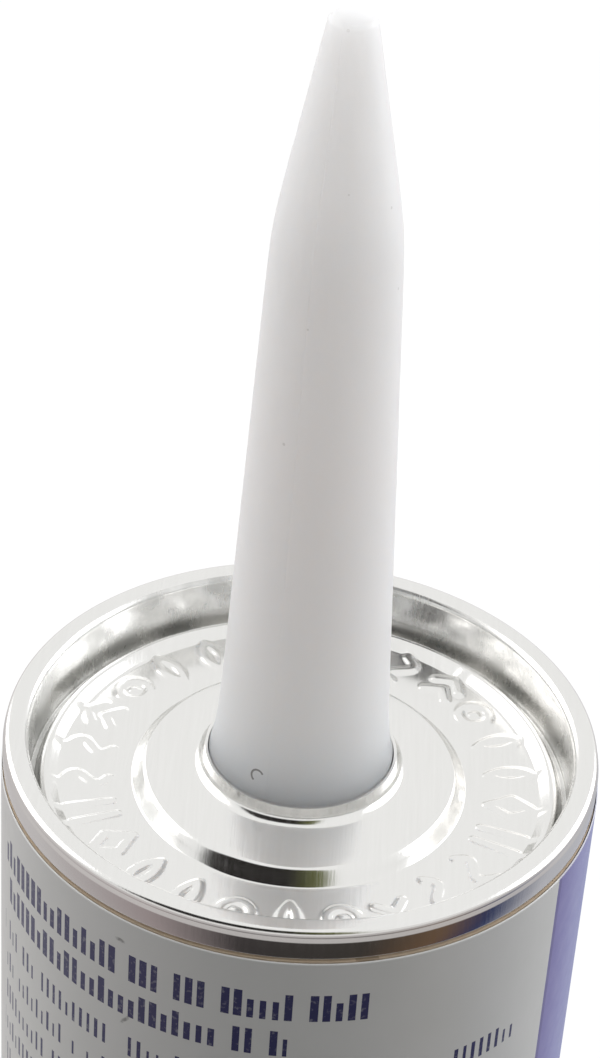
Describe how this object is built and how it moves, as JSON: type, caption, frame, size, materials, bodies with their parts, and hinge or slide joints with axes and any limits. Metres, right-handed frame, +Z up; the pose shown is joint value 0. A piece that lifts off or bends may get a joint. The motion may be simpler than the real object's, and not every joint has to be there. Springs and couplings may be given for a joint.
{
  "type": "caulk tube",
  "caption": "Round paperboard sealant cartridge with a crimped tinplate end, a tapered uncut plastic nozzle and a sliding piston behind the paste.",
  "frame": {"origin": "centre of the tube's open bottom edge, on the surface that it stands on", "axes": "+Z up along the common axis of tube, end and nozzle; -Y towards the printed front"},
  "size_m": [0.0508, 0.0508, 0.282],
  "materials": {
    "paperboard": "spiral-wound paperboard, matt",
    "label_paper": "coated printed paper, soft gloss",
    "tinplate": "bright tinplate with fine rolling grain",
    "seam_rubber": "cured lining compound, matt",
    "nozzle_polyethylene": "milky natural polyethylene, soft sheen",
    "seal_foil": "lacquered foil",
    "plunger_polyethylene": "moulded white polyethylene",
    "sealant_paste": "smooth white paste"
  },
  "bodies": {
    "cartridge": {"tube_body": "paperboard", "label": "label_paper", "top_end": "tinplate", "seam_compound": "seam_rubber", "nozzle": "nozzle_polyethylene", "puncture_seal": "seal_foil", "sealant": "sealant_paste"},
    "piston": {"plunger": "plunger_polyethylene"}
  },
  "joints": [
    {"name": "plunger_slide", "type": "slide", "parent": "cartridge", "child": "piston", "axis": [0, 0, 1], "range_m": [0, 0.17275], "deforming": ["sealant"]}
  ]
}
